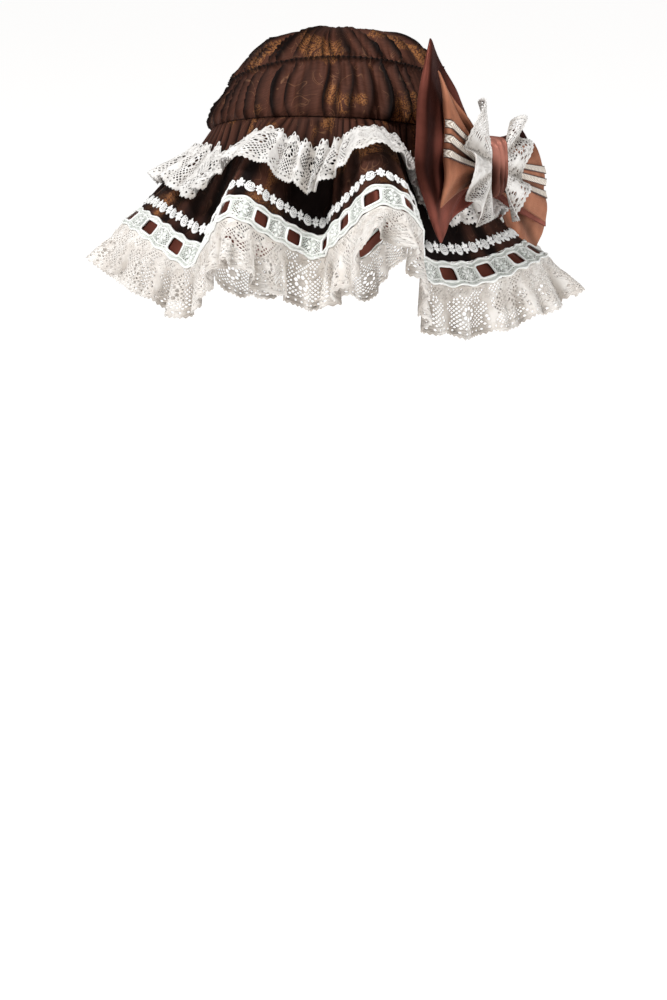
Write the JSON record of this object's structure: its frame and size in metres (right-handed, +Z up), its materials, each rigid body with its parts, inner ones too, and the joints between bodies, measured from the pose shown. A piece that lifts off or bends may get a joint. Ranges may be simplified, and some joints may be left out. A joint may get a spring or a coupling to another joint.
{
  "type": "lolita headdress",
  "caption": "Gathered brown cloth cap with a deep folded brim, white lace ruffles, a rose trim, a threaded satin ribbon and a large satin bow on the side.",
  "frame": {"origin": "centre of the head opening, at the level of the elastic seam between crown and brim", "axes": "+Z up, the front of the cap faces -Y, +X is the wearer's left, the side of the bow"},
  "size_m": [0.3252, 0.3649, 0.2221],
  "materials": {
    "cloth": "figured jacquard, dark brown with bronze arabesques",
    "satin": "dark brown satin",
    "copper": "copper brown satin",
    "ribbon": "narrow brown satin ribbon",
    "lace": "white floral lace",
    "trim": "white guipure roses and leaves",
    "beading": "white slotted insertion lace",
    "hem": "ivory floral lace",
    "braid": "cream woven braid with brown edges"
  },
  "bodies": {
    "root": {"crown": "cloth", "brim": "cloth", "upper_lace": "lace", "floral_trim": "trim", "beading_lace": "beading", "threaded_ribbon": "ribbon", "hem_lace": "hem", "bow_satin_front": "satin", "bow_satin_back": "satin", "bow_copper_front": "copper", "bow_copper_back": "copper", "bow_lace_front": "lace", "bow_lace_back": "lace", "bow_knot": "satin", "bow_tail_copper": "copper", "bow_braid_front_1": "braid", "bow_braid_front_2": "braid", "bow_braid_front_3": "braid", "bow_braid_back_1": "braid", "bow_braid_back_2": "braid", "bow_braid_back_3": "braid"}
  },
  "joints": []
}
